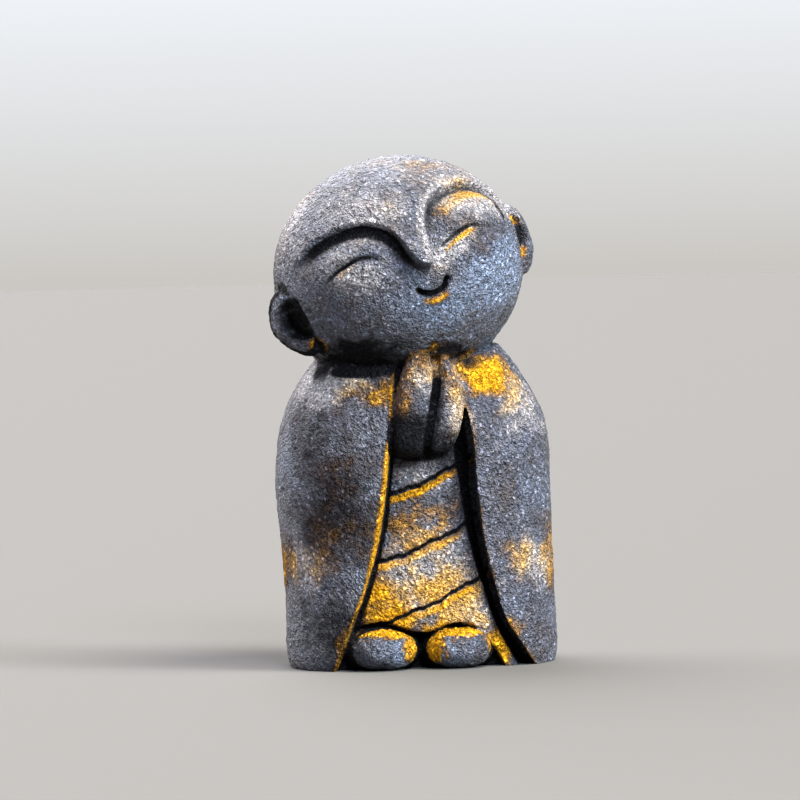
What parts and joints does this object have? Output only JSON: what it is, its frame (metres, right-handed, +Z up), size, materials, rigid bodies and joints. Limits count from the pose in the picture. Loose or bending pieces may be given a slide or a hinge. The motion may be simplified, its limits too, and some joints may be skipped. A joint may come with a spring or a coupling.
{
  "type": "monk statue",
  "caption": "Small cast stone figure of a smiling child monk, head tilted, palms pressed together, standing in a mantle over a wrapped robe.",
  "frame": {"origin": "on the flat underside, below the middle of the body", "axes": "+Z up, -Y the way the figure faces, +X the figure's own left hand side"},
  "size_m": [0.0443, 0.0384, 0.0796],
  "materials": {
    "cast_stone": "matt sandy cast surface, charcoal, with ochre patina in the recesses"
  },
  "bodies": {
    "root": {"monk_figure": "cast_stone"}
  },
  "joints": []
}
